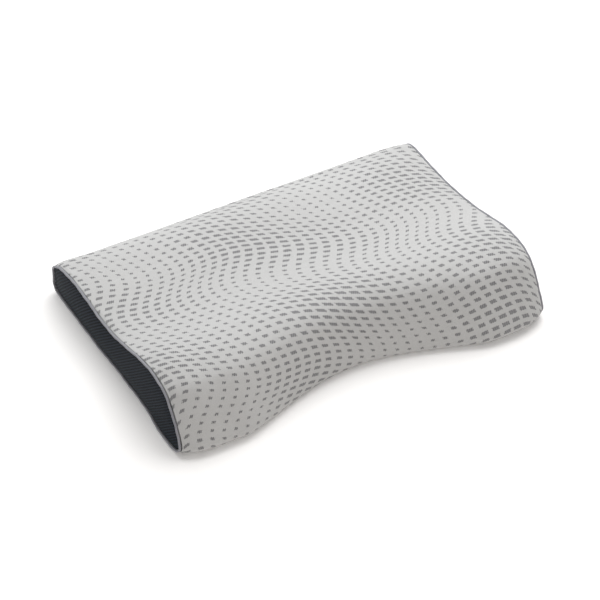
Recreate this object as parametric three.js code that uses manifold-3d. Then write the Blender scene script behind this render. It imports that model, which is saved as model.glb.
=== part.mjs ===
// A contoured foam bed pillow in a removable zipped cover.
//
// Frame, in millimetres: X runs along the pillow, -Y is the neck side with the tall roll and the
// shoulder recess, +Y is the low side with the zip, and Z is up from the face that lies on the bed.
// The layers from outside to inside are the knit wrap panel with two mesh gussets and piped seams,
// the inner liner, and the moulded foam core. A depth is always measured inwards from the outer
// face of the wrap panel.
import * as THREE from "three";
import Module from "manifold-3d";

const manifold = await Module();
manifold.setup();

// Overall form
const FRONT_Y = -211;
const BACK_Y = 208;
const CREST_Z = 102; // the tallest point of the neck roll
const SECTION_CENTRE = [0, 38]; // a [y, z] point that sees the whole of every section
const SEAM_X = 295; // the side seams, from the middle of the pillow
const CROWN_START_X = 250; // where the section starts to draw in towards a side seam
const CROWN_ANGLE = (70 * Math.PI) / 180; // how far round its shoulder the fabric turns by the seam
const CROWN_INSET = { front: 15, back: 4, top: 9, base: 2 }; // how far in the seam itself lies
const RECESS_HALF_WIDTH = 200; // the shoulder recess in the neck side
const RECESS_POWER = 1.5; // how full the recess is between its ends

// Sections, as [y, z] points up the front, over the top, and down and under from the back.
const BACK_AND_BASE = [
  [102, 70],
  [148, 69.5],
  [179, 61],
  [197, 50],
  [BACK_Y, 39],
  [BACK_Y, 26],
  [BACK_Y, 14],
  [200, 3],
  [180, 0],
  [60, 0],
];
const LOBE_SECTION = [
  [FRONT_Y, 14],
  [-201, 40],
  [-185, 70],
  [-164, 93],
  [-131, CREST_Z],
  [-92, 99],
  [-50, 87],
  [0, 74],
  [50, 69],
  ...BACK_AND_BASE,
  [-60, 0],
  [-180, 0],
  [-203, 3],
];
const RECESS_SECTION = [
  [-162, 14],
  [-158, 38],
  [-148, 66],
  [-131, 88],
  [-104, 98],
  [-72, 95],
  [-38, 84.5],
  [5, 73],
  [52, 68],
  ...BACK_AND_BASE,
  [-40, 0],
  [-136, 0],
  [-155, 3],
];
const STEPS_PER_POINT = 2;
const BODY_STATIONS = [0, 40, 80, 115, 145, 172, RECESS_HALF_WIDTH, CROWN_START_X];
const CROWN_STEPS = 4;

// Layers, as depths
const GAP = 0.4;
const WRAP_WALL = 2.1; // knit face, thin wadding and backing, quilted as one fabric
const LINER_DEPTH = 4.8;
const LINER_WALL = 1;
const CORE_DEPTH = LINER_DEPTH + LINER_WALL + GAP;
const WRAP_END_X = SEAM_X - 2.3;
const LINER_END_X = SEAM_X - 5.4;
const LINER_SLIT = { length: 300, height: 1.6 };

// Side gussets and piping
const PIPING_RADIUS = 1.9;
const PIPING_WALL = 0.4;
const PIPING_DEPTH = 1;
const PIPING_SLIT_ANGLE = 0.5; // the strip's open edge, in radians either side of inwards
const CORD_RADIUS = 1.15;
const GUSSET_WALL = 2.5;
const GUSSET_EDGE_DEPTH = PIPING_DEPTH + PIPING_RADIUS + GAP;
const GUSSET_EDGE_X = SEAM_X - 1;
const GUSSET_BULGE = 6;
const GUSSET_RINGS = [1, 0.85, 0.55, 0.2];

// Zip
const ZIP_Z = 26;
const SLOT = { halfLength: 245, height: 11 };
const TAPE = { halfLength: 252, width: 9, wall: 0.6, depth: 2.4, clearOfMiddle: 1 };
const SLIDER_X = 230; // closed; it runs towards -X to open
const COIL_ENDS = [-236, SLIDER_X + 1];
const COIL = { width: 2.8, height: 1.6, depth: 0.5, clearOfMiddle: 0.2, edge: 0.5 };
const SLIDER = { length: 11, width: 9, tail: 7, plate: 1, channel: 3.6, lift: 0.2 };
const SLIDER_POST = { length: 2.6, width: 1.4, fromNose: 1.2 };
const SLIDER_FLANGE = { width: 0.8, height: 2 };
const CROWN_ARCH = { length: 7, width: 2.4, opening: 1.8, wall: 0.8, foot: 1.1 };
const PULL = { bar: 1, barLength: 6, arm: 1, armLength: 6, length: 24, width: 7, hole: 1.6 };
const STOP = { length: 2.4, width: 2.4, height: 1.9, clearOfMiddle: 0.4, gap: 0.8 };
const TACK = { length: 2.2, height: 0.8 };

// Materials
const KNIT = new THREE.MeshStandardMaterial({ color: 0xd6d6d2, roughness: 0.92, metalness: 0 });
const MESH_FABRIC = new THREE.MeshStandardMaterial({ color: 0x2c343c, roughness: 0.85 });
const PIPING = new THREE.MeshStandardMaterial({ color: 0x9a9aa2, roughness: 0.75 });
const CORD = new THREE.MeshStandardMaterial({ color: 0xe8e6df, roughness: 0.9 });
const LINER = new THREE.MeshStandardMaterial({ color: 0xf2f1ec, roughness: 0.95 });
const FOAM = new THREE.MeshStandardMaterial({ color: 0xf1ecd8, roughness: 1 });
const TAPE_FABRIC = new THREE.MeshStandardMaterial({ color: 0x8f9298, roughness: 0.9 });
const NYLON = new THREE.MeshStandardMaterial({ color: 0x9da0a6, roughness: 0.4 });
const NICKEL = new THREE.MeshStandardMaterial({ color: 0xb9bbbf, roughness: 0.3, metalness: 1 });

// ---- Section of the pillow ----

const mix = (a, b, share) => a + (b - a) * share;

// 1 in the middle of the shoulder recess, and 0 beyond its ends.
function recessShare(x) {
  const across = Math.min(1, Math.abs(x) / RECESS_HALF_WIDTH);
  return (1 - across * across) ** RECESS_POWER;
}

// 0 in the body of the pillow and 1 at a side seam.
function crownShare(x) {
  const across = Math.max(0, (Math.abs(x) - CROWN_START_X) / (SEAM_X - CROWN_START_X));
  const angle = Math.asin(Math.min(1, across) * Math.sin(CROWN_ANGLE));
  return (1 - Math.cos(angle)) / (1 - Math.cos(CROWN_ANGLE));
}

// The limits of the section at x, which draws in on every side near the seams.
function sectionLimits(x) {
  const share = crownShare(x);
  return {
    front: FRONT_Y + CROWN_INSET.front * share,
    back: BACK_Y - CROWN_INSET.back * share,
    base: CROWN_INSET.base * share,
    crest: CREST_Z - CROWN_INSET.top * share,
  };
}

// The closed outline at x, at one depth, as a ring of points.
function ring(x, depth) {
  const share = recessShare(x);
  const { front, back, base, crest } = sectionLimits(x);
  const points = LOBE_SECTION.map(([lobeY, lobeZ], i) => {
    const [recessY, recessZ] = RECESS_SECTION[i];
    const along = (mix(lobeY, recessY, share) - FRONT_Y) / (BACK_Y - FRONT_Y);
    const up = mix(lobeZ, recessZ, share) / CREST_Z;
    return new THREE.Vector3(0, mix(front, back, along), mix(base, crest, up));
  });
  const curve = new THREE.CatmullRomCurve3(points, true, "centripetal");
  const count = points.length * STEPS_PER_POINT;
  return Array.from({ length: count }, (_, i) => {
    const p = curve.getPoint(i / count);
    const t = curve.getTangent(i / count);
    const normal = new THREE.Vector2(-t.z, t.y).normalize();
    const y = Math.min(Math.min(p.y, back) - normal.x * depth, back - depth);
    const z = Math.max(Math.max(p.z, base) - normal.y * depth, base + depth);
    return { at: new THREE.Vector3(x, y, z), normal };
  });
}

// The x of every ring from one end to the other.
function stations(endX) {
  const half = [...BODY_STATIONS];
  for (let i = 1; i <= CROWN_STEPS; i++) {
    const turned = Math.sin((CROWN_ANGLE * i) / CROWN_STEPS) / Math.sin(CROWN_ANGLE);
    half.push(CROWN_START_X + (endX - CROWN_START_X) * turned);
  }
  return [...half.slice(1).reverse().map((x) => -x), ...half];
}

const rings = (endX, depth) => stations(endX).map((x) => ring(x, depth).map(({ at }) => at));

// ---- Geometry helpers ----

class Surface {
  positions = [];

  triangle(a, b, c) {
    this.positions.push(...a.toArray(), ...b.toArray(), ...c.toArray());
  }

  // Joins two rings of equal length, facing out where the far ring is the one nearer +X.
  band(near, far) {
    near.forEach((a, i) => {
      const next = (i + 1) % near.length;
      this.triangle(a, far[i], far[next]);
      this.triangle(a, far[next], near[next]);
    });
  }

  // A flat end over a ring, facing along the sign of X.
  cap(loop, sign) {
    const [y, z] = SECTION_CENTRE;
    const centre = new THREE.Vector3(loop[0].x, y, z);
    loop.forEach((a, i) => {
      const b = loop[(i + 1) % loop.length];
      if (sign > 0) this.triangle(centre, b, a);
      else this.triangle(centre, a, b);
    });
  }

  geometry() {
    const made = new THREE.BufferGeometry();
    made.setAttribute("position", new THREE.Float32BufferAttribute(this.positions, 3));
    made.computeVertexNormals();
    return made;
  }
}

// A solid through rings, with flat ends.
function loft(list) {
  const made = new Surface();
  for (let i = 1; i < list.length; i++) made.band(list[i - 1], list[i]);
  made.cap(list[0], -1);
  made.cap(list.at(-1), 1);
  return made.geometry();
}

// An open-ended sleeve between outer and inner rings.
function sleeve(outer, inner) {
  const made = new Surface();
  for (let i = 1; i < outer.length; i++) {
    made.band(outer[i - 1], outer[i]);
    made.band(inner[i], inner[i - 1]);
  }
  made.band(inner[0], outer[0]);
  made.band(outer.at(-1), inner.at(-1));
  return made.geometry();
}

function solidOf(geometry) {
  const corners = geometry.index ? geometry.toNonIndexed() : geometry;
  const from = corners.getAttribute("position").array;
  const seen = new Map();
  const vertices = [];
  const triangles = [];
  for (let i = 0; i < from.length; i += 3) {
    const key = [from[i], from[i + 1], from[i + 2]].map((v) => Math.round(v * 1000)).join();
    if (!seen.has(key)) {
      seen.set(key, seen.size);
      vertices.push(from[i], from[i + 1], from[i + 2]);
    }
    triangles.push(seen.get(key));
  }
  const vertProperties = new Float32Array(vertices);
  const triVerts = new Uint32Array(triangles);
  return new manifold.Manifold(new manifold.Mesh({ numProp: 3, vertProperties, triVerts }));
}

function geometryOf(solid) {
  const mesh = solid.getMesh();
  const made = new THREE.BufferGeometry();
  made.setAttribute("position", new THREE.Float32BufferAttribute(mesh.vertProperties, 3));
  made.setIndex(new THREE.Uint32BufferAttribute(mesh.triVerts, 1));
  return made.toNonIndexed();
}

const join = (...list) => geometryOf(list.map(solidOf).reduce((a, b) => a.add(b)));
const cut = (whole, ...tools) =>
  geometryOf(tools.map(solidOf).reduce((a, b) => a.subtract(b), solidOf(whole)));

// A box from its limits: [low, high] in x, y and z.
function block(x, y, z) {
  const made = new THREE.BoxGeometry(x[1] - x[0], y[1] - y[0], z[1] - z[0]);
  return made.translate((x[0] + x[1]) / 2, (y[0] + y[1]) / 2, (z[0] + z[1]) / 2);
}

// The y limits of something on the back face between two depths.
const backSpan = (from, to) => [BACK_Y - to, BACK_Y - from];

const pillow = new THREE.Group();
function add(name, geometry, material) {
  const made = new THREE.Mesh(geometry, material);
  made.name = name;
  pillow.add(made);
  return made;
}

// ---- Core, liner and wrap panel ----

function foamCore() {
  return loft(rings(LINER_END_X - LINER_WALL - GAP, CORE_DEPTH));
}

// A closed bag with the unsewn slit through which the core goes in.
function innerLiner() {
  const outside = loft(rings(LINER_END_X, LINER_DEPTH));
  const inside = loft(rings(LINER_END_X - LINER_WALL, LINER_DEPTH + LINER_WALL));
  const slit = block(
    [-LINER_SLIT.length / 2, LINER_SLIT.length / 2],
    backSpan(LINER_DEPTH - 2, LINER_DEPTH + LINER_WALL + 2),
    [ZIP_Z - LINER_SLIT.height / 2, ZIP_Z + LINER_SLIT.height / 2],
  );
  return cut(outside, inside, slit);
}

// One length of fabric round the core, with the slot that the zip closes.
function wrapPanel() {
  const tube = sleeve(rings(WRAP_END_X, 0), rings(WRAP_END_X, WRAP_WALL));
  const slot = block(
    [-SLOT.halfLength, SLOT.halfLength],
    backSpan(-5, WRAP_WALL + 1),
    [ZIP_Z - SLOT.height / 2, ZIP_Z + SLOT.height / 2],
  );
  return cut(tube, slot);
}

// ---- Gussets and piping ----

// A mesh end panel, thicker than it is stiff, that the core pushes out into a shallow dome.
function gusset(side) {
  const edge = ring(SEAM_X, GUSSET_EDGE_DEPTH).map(({ at }) => at);
  const [centreY, centreZ] = SECTION_CENTRE;
  const layer = (share, depth) =>
    edge.map(({ y, z }) => {
      const out = GUSSET_EDGE_X + GUSSET_BULGE * (1 - share * share) - depth;
      return new THREE.Vector3(side * out, mix(centreY, y, share), mix(centreZ, z, share));
    });
  const outer = GUSSET_RINGS.map((share) => layer(share, 0));
  const inner = GUSSET_RINGS.map((share) => layer(share, GUSSET_WALL));
  const path = [...inner.toReversed(), ...outer];
  return loft(side > 0 ? path : path.toReversed());
}

// A closed hoop along the side seam, from a section of [along x, outwards] points.
function hoop(side, section) {
  const made = new Surface();
  const loops = ring(SEAM_X, PIPING_DEPTH).map(({ at, normal }) =>
    section.map(([along, out]) => {
      const y = at.y + normal.x * out;
      return new THREE.Vector3(side * (at.x + along), y, at.z + normal.y * out);
    }),
  );
  loops.forEach((loop, i) => {
    const next = loops[(i + 1) % loops.length];
    if (side > 0) made.band(next, loop);
    else made.band(loop, next);
  });
  return made.geometry();
}

const onCircle = (radius, angle) => [radius * Math.sin(angle), radius * Math.cos(angle)];

function pipingStrip(side) {
  const steps = 8;
  const reach = Math.PI - PIPING_SLIT_ANGLE;
  const arc = (radius) =>
    Array.from({ length: steps + 1 }, (_, i) => onCircle(radius, mix(-reach, reach, i / steps)));
  const inner = arc(PIPING_RADIUS - PIPING_WALL);
  return hoop(side, [...arc(PIPING_RADIUS), ...inner.reverse()]);
}

function pipingCord(side) {
  const sides = 6;
  const round = (_, i) => onCircle(CORD_RADIUS, (2 * Math.PI * i) / sides);
  return hoop(side, Array.from({ length: sides }, round));
}

// ---- Zip ----

function zipTape(side) {
  const edges = [TAPE.clearOfMiddle, TAPE.clearOfMiddle + TAPE.width].map((v) => ZIP_Z + side * v);
  const limits = edges.sort((a, b) => a - b);
  const y = backSpan(TAPE.depth, TAPE.depth + TAPE.wall);
  return block([-TAPE.halfLength, TAPE.halfLength], y, limits);
}

// One row of coil as its envelope, a bar with its outer edges taken off.
function zipCoil(side) {
  const [w, h] = [COIL.width / 2, COIL.height / 2];
  const outline = new THREE.Shape([
    new THREE.Vector2(-w, -h),
    new THREE.Vector2(w, -h),
    new THREE.Vector2(w, h - COIL.edge),
    new THREE.Vector2(w - COIL.edge, h),
    new THREE.Vector2(COIL.edge - w, h),
    new THREE.Vector2(-w, h - COIL.edge),
  ]);
  const [start, end] = COIL_ENDS;
  const bar = new THREE.ExtrudeGeometry(outline, { depth: end - start, bevelEnabled: false });
  bar.translate(0, 0, start).rotateY(Math.PI / 2);
  const z = ZIP_Z + side * (COIL.clearOfMiddle + w);
  return bar.translate(0, BACK_Y - COIL.depth - h, z);
}

// The slider's plate outline, blunt at the nose and narrower at the tail.
function sliderPlate(fromDepth, toDepth) {
  const nose = SLIDER.length / 2;
  const [wide, narrow] = [SLIDER.width / 2, SLIDER.tail / 2];
  const shape = new THREE.Shape();
  shape.moveTo(-nose + 1, -narrow);
  shape.lineTo(nose - 4, -wide);
  shape.lineTo(nose - 1, -wide);
  shape.quadraticCurveTo(nose, -wide, nose, -wide + 1.5);
  shape.quadraticCurveTo(nose - 0.6, 0, nose, wide - 1.5);
  shape.quadraticCurveTo(nose, wide, nose - 1, wide);
  shape.lineTo(nose - 4, wide);
  shape.lineTo(-nose + 1, narrow);
  shape.quadraticCurveTo(-nose, narrow, -nose, narrow - 1);
  shape.lineTo(-nose, -narrow + 1);
  shape.quadraticCurveTo(-nose, -narrow, -nose + 1, -narrow);
  const made = new THREE.ExtrudeGeometry(shape, {
    depth: toDepth - fromDepth,
    bevelEnabled: false,
    curveSegments: 4,
  });
  made.rotateX(Math.PI / 2); // the outline's second axis becomes Z, and its thickness runs inwards
  return made.translate(SLIDER_X, BACK_Y - fromDepth, ZIP_Z);
}

function sliderBody() {
  const top = -SLIDER.lift - SLIDER.plate;
  const under = -SLIDER.lift + SLIDER.channel;
  const nose = SLIDER_X + SLIDER.length / 2;
  const tail = SLIDER_X - SLIDER.length / 2;
  const overlap = 0.1;
  const postEnd = nose - SLIDER_POST.fromNose;
  const post = block(
    [postEnd - SLIDER_POST.length, postEnd],
    backSpan(-SLIDER.lift - overlap, under + overlap),
    [ZIP_Z - SLIDER_POST.width / 2, ZIP_Z + SLIDER_POST.width / 2],
  );
  const flanges = [-1, 1].map((side) => {
    const outer = ZIP_Z + (side * SLIDER.tail) / 2;
    const limits = [outer, outer + side * SLIDER_FLANGE.width].sort((a, b) => a - b);
    const y = backSpan(-SLIDER.lift - overlap, SLIDER_FLANGE.height - SLIDER.lift);
    return block([tail + 2.5, nose - 2], y, limits);
  });
  const { length, width, opening, wall, foot } = CROWN_ARCH;
  const across = [ZIP_Z - width / 2, ZIP_Z + width / 2];
  const ends = [SLIDER_X - length / 2, SLIDER_X + length / 2];
  const arch = cut(
    block(ends, backSpan(top - opening - wall, top + overlap), across),
    block([ends[0] + foot, ends[1] - foot], backSpan(top - opening, top),
      [across[0] - 1, across[1] + 1]),
  );
  return join(
    sliderPlate(top, -SLIDER.lift),
    sliderPlate(under, under + SLIDER.plate),
    post,
    ...flanges,
    arch,
  );
}

// The pull's bar turns under the slider's arch, and its two arms pass either side of it.
function pullTab() {
  const axisDepth = -SLIDER.lift - SLIDER.plate - CROWN_ARCH.opening / 2;
  const y = backSpan(axisDepth - PULL.bar / 2, axisDepth + PULL.bar / 2);
  const half = PULL.barLength / 2;
  const bar = new THREE.CylinderGeometry(PULL.bar / 2, PULL.bar / 2, PULL.barLength, 12);
  bar.rotateX(Math.PI / 2).translate(SLIDER_X, BACK_Y - axisDepth, ZIP_Z);
  const arms = [-1, 1].map((side) => {
    const limits = [ZIP_Z + side * half, ZIP_Z + side * (half - PULL.arm)].sort((a, b) => a - b);
    return block([SLIDER_X - PULL.armLength - 0.5, SLIDER_X], y, limits);
  });
  const shape = new THREE.Shape();
  const [start, end, wide] = [PULL.armLength, PULL.length, PULL.width / 2];
  shape.moveTo(start, -half);
  shape.lineTo(start + 3, -wide);
  shape.lineTo(end - wide, -wide);
  shape.absarc(end - wide, 0, wide, -Math.PI / 2, Math.PI / 2);
  shape.lineTo(start + 3, wide);
  shape.lineTo(start, half);
  const eye = new THREE.Path();
  eye.absarc(end - wide, 0, PULL.hole, 0, 2 * Math.PI, true);
  shape.holes.push(eye);
  const plate = new THREE.ExtrudeGeometry(shape, {
    depth: PULL.bar,
    bevelEnabled: false,
    curveSegments: 8,
  });
  plate.rotateX(Math.PI / 2).rotateZ(Math.PI);
  plate.translate(SLIDER_X, y[0], ZIP_Z);
  return join(plate, bar, ...arms);
}

// The limits in depth of what is clamped or stitched on the outer face of the tapes.
const onTapes = (height) => backSpan(TAPE.depth - GAP - height, TAPE.depth - GAP);

function topStop(side) {
  const near = STOP.clearOfMiddle;
  const z = [near, near + STOP.width].map((v) => ZIP_Z + side * v).sort((a, b) => a - b);
  const start = SLIDER_X + SLIDER.length / 2 + STOP.gap;
  return block([start, start + STOP.length], onTapes(STOP.height), z);
}

function bottomStop() {
  const end = COIL_ENDS[0] - STOP.gap;
  const half = STOP.clearOfMiddle + STOP.width;
  return block([end - STOP.length, end], onTapes(STOP.height), [ZIP_Z - half, ZIP_Z + half]);
}

// A close row of stitches across the slot's end, which takes the load off the zip.
function barTack(side) {
  const end = SLOT.halfLength - GAP;
  const x = [side * end, side * (end - TACK.length)].sort((a, b) => a - b);
  const half = SLOT.height / 2 - GAP;
  return block(x, onTapes(TACK.height), [ZIP_Z - half, ZIP_Z + half]);
}

// ---- Assembly ----

add("foam_core", foamCore(), FOAM);
add("inner_liner", innerLiner(), LINER);
add("wrap_panel", wrapPanel(), KNIT);
for (const [name, side] of [["left", -1], ["right", 1]]) {
  add(`gusset_${name}`, gusset(side), MESH_FABRIC);
  add(`piping_strip_${name}`, pipingStrip(side), PIPING);
  add(`piping_cord_${name}`, pipingCord(side), CORD);
  add(`bar_tack_${name}`, barTack(side), PIPING);
}
for (const [name, side] of [["upper", 1], ["lower", -1]]) {
  add(`zip_tape_${name}`, zipTape(side), TAPE_FABRIC);
  add(`zip_coil_${name}`, zipCoil(side), NYLON);
  add(`zip_top_stop_${name}`, topStop(side), NICKEL);
}
add("zip_bottom_stop", bottomStop(), NICKEL);
add("zip_slider", sliderBody(), NICKEL);
add("zip_pull", pullTab(), NICKEL);

// The slider stands proud of the back, so the whole moves to centre its box on the origin.
const box = new THREE.Box3().setFromObject(pillow);
pillow.position.y = -(box.min.y + box.max.y) / 2;

export default pillow;
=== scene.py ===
"""A contoured foam bed pillow in a zipped knit cover, on a pale studio floor.

Lengths are in millimetres in the row frame until a mesh is made, and a depth is measured inwards
from the outer face of the wrap panel. The outline repeats the one the CAD solids are made from.
"""

import math

import bmesh
import bpy
import numpy as np
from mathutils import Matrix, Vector


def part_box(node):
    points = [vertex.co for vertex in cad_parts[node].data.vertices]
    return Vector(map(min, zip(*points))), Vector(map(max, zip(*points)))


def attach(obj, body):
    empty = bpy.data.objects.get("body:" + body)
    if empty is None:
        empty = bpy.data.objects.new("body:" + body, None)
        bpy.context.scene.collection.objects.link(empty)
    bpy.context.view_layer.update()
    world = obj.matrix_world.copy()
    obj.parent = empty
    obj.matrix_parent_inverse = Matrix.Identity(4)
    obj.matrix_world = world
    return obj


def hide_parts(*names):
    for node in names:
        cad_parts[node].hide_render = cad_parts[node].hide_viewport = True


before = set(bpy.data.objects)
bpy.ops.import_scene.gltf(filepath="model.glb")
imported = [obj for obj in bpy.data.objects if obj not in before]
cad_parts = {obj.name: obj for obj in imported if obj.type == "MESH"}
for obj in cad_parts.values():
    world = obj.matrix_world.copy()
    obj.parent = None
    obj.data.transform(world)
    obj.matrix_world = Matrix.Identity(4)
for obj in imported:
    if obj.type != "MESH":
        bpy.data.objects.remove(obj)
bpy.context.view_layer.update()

MM = 0.001
TAU = 2 * math.pi

# Overall form
FRONT_Y = -211
BACK_Y = 208
CREST_Z = 102
SEAM_X = 295
CROWN_START_X = 250
CROWN_ANGLE = math.radians(70)
CROWN_INSET = {"front": 15, "back": 4, "top": 9, "base": 2}
RECESS_HALF_WIDTH = 200
RECESS_POWER = 1.5
# Sections as (y, z), up the front, over the top, down the back and along the base
BACK_AND_BASE = [
    (102, 70), (148, 69.5), (179, 61), (197, 50),
    (BACK_Y, 39), (BACK_Y, 26), (BACK_Y, 14),
    (200, 3), (180, 0), (60, 0),
]
LOBE_SECTION = [
    (FRONT_Y, 14), (-201, 40), (-185, 70), (-164, 93),
    (-131, CREST_Z), (-92, 99), (-50, 87), (0, 74), (50, 69),
    *BACK_AND_BASE,
    (-60, 0), (-180, 0), (-203, 3),
]
RECESS_SECTION = [
    (-162, 14), (-158, 38), (-148, 66), (-131, 88),
    (-104, 98), (-72, 95), (-38, 84.5), (5, 73), (52, 68),
    *BACK_AND_BASE,
    (-40, 0), (-136, 0), (-155, 3),
]

# How far use has moved the outline, upwards where not said
BACK_SAG = 8
RIGHT_CORNER_LIFT = 7
BACK_TWIST = 6  # at the left end, and as far down at the right one
LEFT_BACK_LIFT = 4
LEFT_CORNER_LIFT = 6
FRONT_RIGHT_BULGE = 4  # forwards
BASE_TUCK = 2.5  # in from both ends
BASE_WAVE = 0.8
LEFT_BASE_SPREAD = 4.5  # out to the left

# Layers, as depths
WRAP_WALL = 2.1
LINER_DEPTH = 4.8
LINER_WALL = 1.0
CORE_DEPTH = 6.2
WRAP_END_X = SEAM_X - 2
LINER_END_X = SEAM_X - 5.4
LINER_SLIT = (150, 0.8)  # half its length, half its height
CORE_END_X = LINER_END_X - LINER_WALL - 0.4
END_ROUNDING = 5
PIPING_DEPTH = 1.0
PIPING_RADIUS = 1.9
PIPING_WALL = 0.4
PIPING_OPENING = 0.12  # half its angle
CORD_RADIUS = 1.15
GUSSET_EDGE_DEPTH = 3.3
GUSSET_EDGE_X = SEAM_X - 1
GUSSET_BULGE = 5.5
GUSSET_WALL = 2.5

# Stitched edges of the knit. Two numbers are a depth and a width.
SEAM_ROLL = (0.7, 4)
SEAM_PUCKER = (0.55, 17)
PUCKER_PITCH = 11.5
HEM_FOLD = (0.9, 2.2)
HEM_GROOVE = (0.4, 1.6)
HEM_STITCH = 6  # from a hem's fold to its stitching
HEM_STITCH_PITCH = 3.4
HEM_STITCH_SHARE = 0.82  # of the pitch, the rest being gap
# across the closed seam beyond the slot: (share of the way from one edge to the other, depth)
CLOSING_ROWS = [(0.2, 0.1), (0.38, 0.6), (0.46, 1.2), (0.54, 1.2), (0.62, 0.6), (0.8, 0.1)]

# Grids that the pieces are drawn on
OUTLINE_STEPS = 14
SEAM_STEPS = [0, 0.5, 1.2, 2.1, 3.2, 4.6, 6.4, 8.8]  # columns close to a side seam
HEM_STEPS = [0, 0.4, 1.0, 1.8, 3.0, 4.4, 5.3, 6.0, 6.7, 7.8, 9.6]  # rows close to the slot
COLUMN_STEP = 4.4
WRAP_ROWS = 186
BODY_ROWS = 120
BODY_COLUMNS = 83
BODY_CROWDING = 0.8
GUSSET_GRID = (340, 84)
GUSSET_CROWDING = 0.97
GUSSET_RING = 600
HOOP_RING = 420

# Cloth simulation, on a coarse copy of the wrap panel
CLOTH_PITCH = 5
CLOTH_ROWS = 168
CLOTH_FRAMES = 24
CLOTH_BODY_DEPTH = 3.4
BODY_SKIN = 0.5
BODY_FRICTION = 20
CLOTH_GAP = 0.8  # kept clear of the body's skin
CLOTH_GRAVITY = 0.3
CLOTH_SETTINGS = {
    "quality": 6,
    "mass": 0.05,
    "tension_stiffness": 12,
    "compression_stiffness": 12,
    "shear_stiffness": 4,
    "bending_stiffness": 0.12,
    "tension_damping": 8,
    "compression_damping": 8,
}
PINNED_ROWS = 4  # along each edge of the slot
PINNED_HEIGHT = 1.5  # of the base, which stays on the floor
MAX_DRIFT = 4
SPARE = 0.5  # cloth to spare everywhere, in percent
SPARE_AT_SEAMS = 2.4
SPARE_REACH = 45  # how far in from the side seams that reaches
SPARE_WAVE = 0.5
SPARE_SHARES = (0.7, 1, 1)  # of all that, along each axis

# Zip
ZIP_Z = 26
SLOT_HALF_LENGTH = 245
SLOT_HEIGHT = 11
SLIDER_X = 230
COIL_ENDS = (-236, SLIDER_X + 1)
COIL_PITCH = 1.5
COIL_DEPTHS = (0.5, 2.1)
COIL_REACH = (0.2, 3.0)
TAPE_HALF_LENGTH = 252
TAPE_REACH = (1.0, 10.0)
TAPE_DEPTHS = (2.4, 3.0)
TAPE_EDGE_WIDTH = 2  # of the thicker edge that carries the coil
TAPE_THIN = 0.8  # of its full thickness, away from that edge
TAPE_SELVEDGE = 0.4  # of the thickness, at its very edges
TAPE_RIB = 0.04
COIL_WIRE = 0.33  # its radius
COIL_OVERLAP = 0.7  # how far the turns of each side reach past the middle of the zip
COIL_STEPS = 14
TACK_PITCH = 0.56
TACK_SLANT = 0.18
TACK_THREAD = 0.3  # its radius
METAL_BEND = math.radians(35)  # the sharpest bend left unrounded

# Knit pattern, on the panel laid flat: columns from its middle, and rows round it from the zip.
# A sway or ripple is (size, length, start).
STITCH_WIDTH = 1.1
STITCH_HEIGHT = 0.8
COLUMN_PITCH = 17.3
COLUMN_START = -4.7
COLUMN_LEAN = -0.066
COLUMN_SWAY = [(20.5, 273, 75), (-4.8, 136.5, 75)]
ROW_PITCH = 12.2
ROW_START = 3.6
ROW_LEAN = -0.23
ROW_SWAY = [(13.6, 317, 10.8), (-1.0, 158.5, 10.8)]
ROW_RIPPLE = (-6.3, 266, 140.5)
MARK_LENGTH = (2.0, -0.87)  # gain and start of its cut-off, as MARK_HEIGHT's
MARK_HEIGHT = (0.7, 0.04)
PATTERN_MIDDLE = 240
SWELL_LENGTHS = (300, 350)
SWELL_LIMIT = 0.55
SWELL_CEILING = 0.8
# (size, waves across in a length, waves round in a length, start in degrees)
SWELLS = [
    (0.12, 1, 0.1, -5),
    (0.12, 0, 2, -20),
    (0.12, -1, 2, -40),
    (0.1, 1, 1, 0),
    (0.07, 0, 1, 45),
    (0.06, -1, 1, 170),
]
STRAND_PITCH = 3.4  # a mark is a few slanting strands side by side
STRAND_SLANT = 0.6
STRAND_BITE = 0.13  # how far the gaps between strands bite into a mark's edge
RAGGEDNESS = 0.8
MARK_ROUNDING = 0.55
MARK_GAIN = 0.07
MARK_EDGE = (-0.04, 0.05)

# Mesh of the end panels
MESH_PITCH = 4
MESH_ANGLE = math.radians(48)
MESH_SHARES = (0.65, 0.35)  # of the two sets of slanting ribs
MESH_RELIEF = 0.28
KNOT_PITCH = 0.9

# Colours, most of them as (darkest, palest)
KNIT_PALE = ((0.44, 0.44, 0.435), (0.60, 0.60, 0.595))
KNIT_DARK = ((0.17, 0.17, 0.175), (0.32, 0.32, 0.325))
# near black painted shade for the mesh's holes, standing in for the dark seen through them
MESH_HOLE_SHADE = (0.003, 0.004, 0.006)
MESH_THREAD = ((0.012, 0.018, 0.027), (0.030, 0.041, 0.056))
PIPING_GREYS = ((0.24, 0.24, 0.27), (0.38, 0.38, 0.42))
# the darker of the foam's two yellows is painted shade in its pores
FOAM_YELLOWS_WITH_PORE_SHADE = ((0.70, 0.62, 0.42), (0.86, 0.81, 0.66))
METAL_GREYS = ((0.50, 0.50, 0.51), (0.70, 0.70, 0.71))
NYLON_GREYS = ((0.30, 0.31, 0.33), (0.42, 0.43, 0.45))
FLOOR_WHITES = ((0.94, 0.93, 0.92), (0.96, 0.95, 0.94))
LINER_WHITE = (0.86, 0.85, 0.82)
CORD_WHITE = (0.80, 0.78, 0.72)
TAPE_GREY = (0.33, 0.34, 0.36)
THREAD_GREY = (0.40, 0.40, 0.43)

# Camera, as it stands to the pillow
CAMERA_TARGET = (0, 51, 50)
CAMERA_AZIMUTH = math.radians(-28.9)
CAMERA_ELEVATION = math.radians(40.9)
CAMERA_DISTANCE = 4532
CAMERA_LENS = 186.8
CAMERA_AIM = (27.4, -60.5)  # how far right of the target and above it the camera points

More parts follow.
